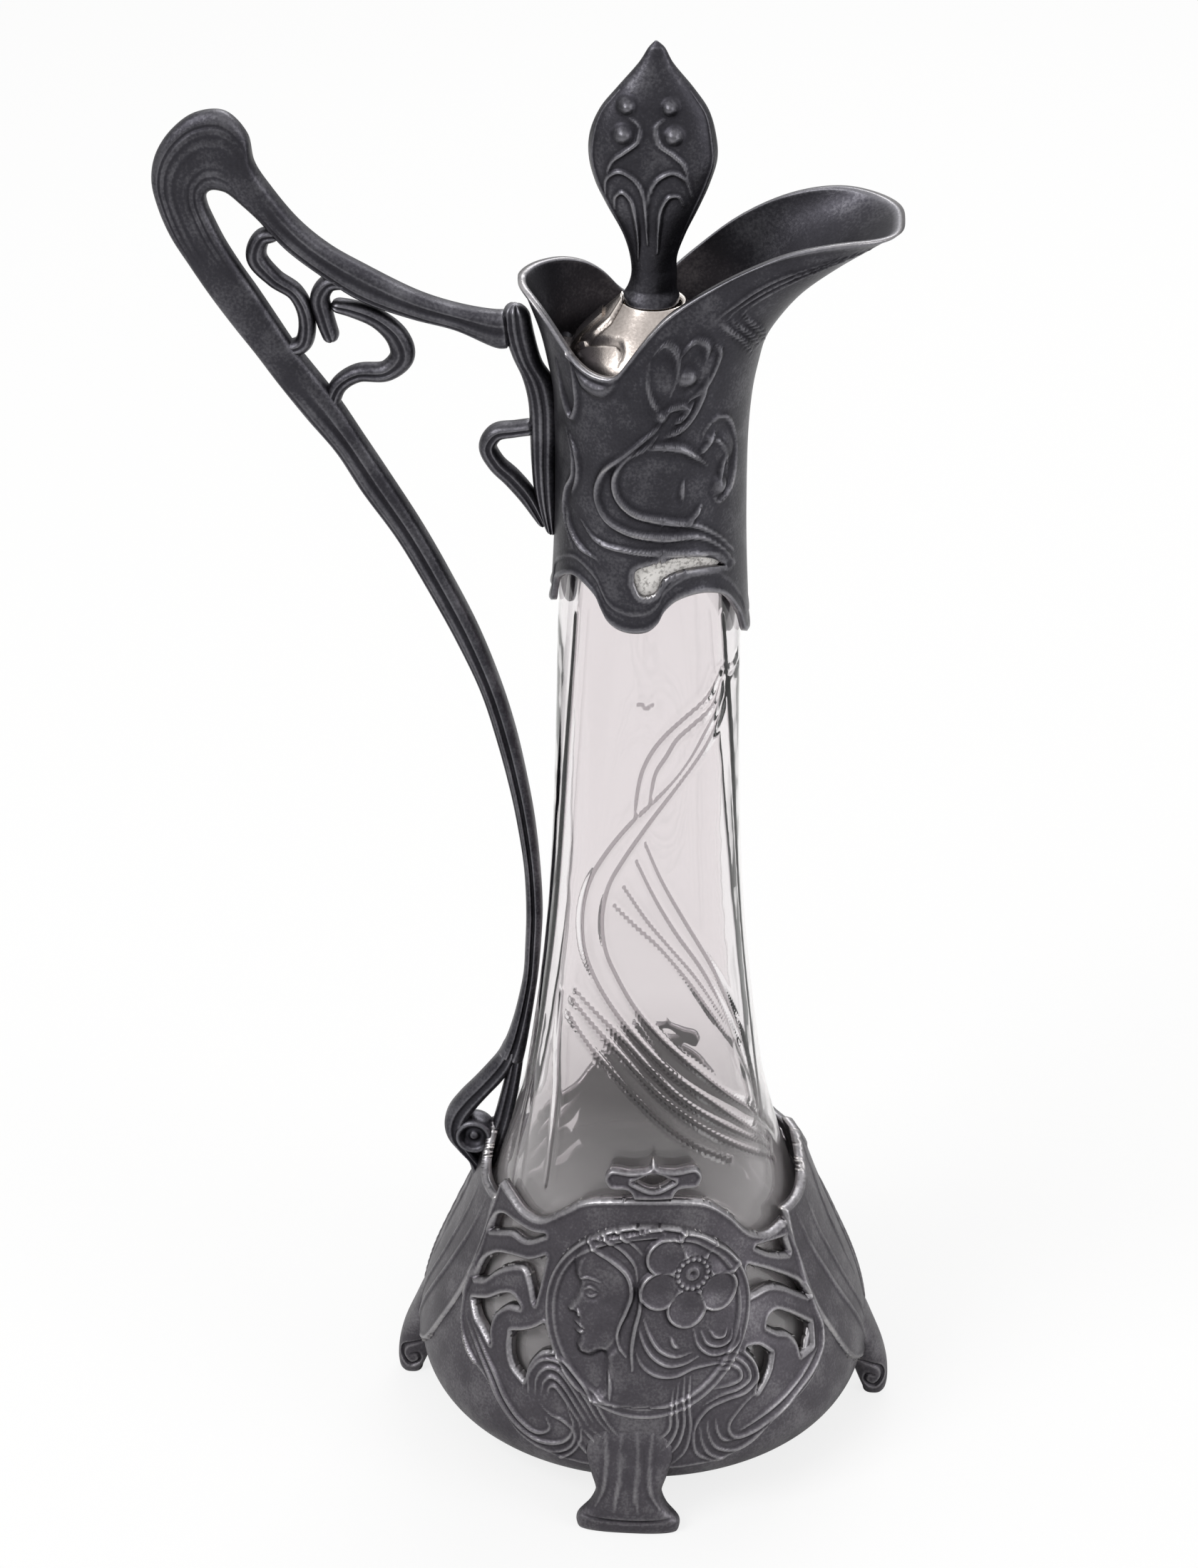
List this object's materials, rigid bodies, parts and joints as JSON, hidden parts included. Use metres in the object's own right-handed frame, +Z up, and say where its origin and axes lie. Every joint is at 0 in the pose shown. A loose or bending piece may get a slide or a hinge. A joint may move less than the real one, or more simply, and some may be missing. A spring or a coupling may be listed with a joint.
{
  "type": "liqueur jug",
  "caption": "Tall footed glass jug in a cast openwork mount, with an S-shaped handle, a scoop spout and a hinged lid with a bud finial.",
  "frame": {"origin": "on the ground, under the middle of the whole jug's box", "axes": "+Z up, +X towards the spout, -Y is the front panel"},
  "size_m": [0.1866, 0.1358, 0.38],
  "materials": {
    "clear_glass": "polished, cut lines",
    "dark_pewter": "tarnished cast relief, worn lighter on its ridges",
    "bright_pewter": "bright silver plate, softly worn",
    "plain_pewter": "plain spun metal",
    "brass_hardware": "turned",
    "plaster": "set plaster"
  },
  "bodies": {
    "jug": {"glass_body": "clear_glass", "neck_plaster": "plaster", "base_plaster": "plaster", "base_plate": "plain_pewter", "base_skirt": "dark_pewter", "front_panel": "dark_pewter", "back_panel": "dark_pewter", "spout_side_panel": "dark_pewter", "handle_side_panel": "dark_pewter", "front_medallion": "dark_pewter", "back_medallion": "dark_pewter", "front_crest": "dark_pewter", "back_crest": "dark_pewter", "foot_front": "dark_pewter", "foot_back": "dark_pewter", "foot_spout": "dark_pewter", "foot_handle": "dark_pewter", "collar": "dark_pewter", "lid_seat": "bright_pewter", "hinge_bracket": "dark_pewter", "hinge_pin": "brass_hardware", "handle_bow": "dark_pewter", "handle_hook_tendril": "dark_pewter", "handle_whiplash_tendril": "dark_pewter", "handle_loop_tendril": "dark_pewter", "handle_strap": "dark_pewter", "handle_curl": "dark_pewter", "handle_outer_leg": "dark_pewter", "handle_inner_leg": "dark_pewter", "handle_volute": "dark_pewter"},
    "lid": {"lid_shell": "bright_pewter", "lid_knuckle": "bright_pewter", "finial": "dark_pewter", "finial_stud": "brass_hardware", "finial_washer": "brass_hardware", "finial_nut": "brass_hardware"}
  },
  "joints": [
    {"name": "lid_hinge", "type": "hinge", "parent": "jug", "child": "lid", "pos_m": [0.00381, 0, 0.3048], "axis": [0, -1, 0], "range_deg": [0, 65]}
  ]
}
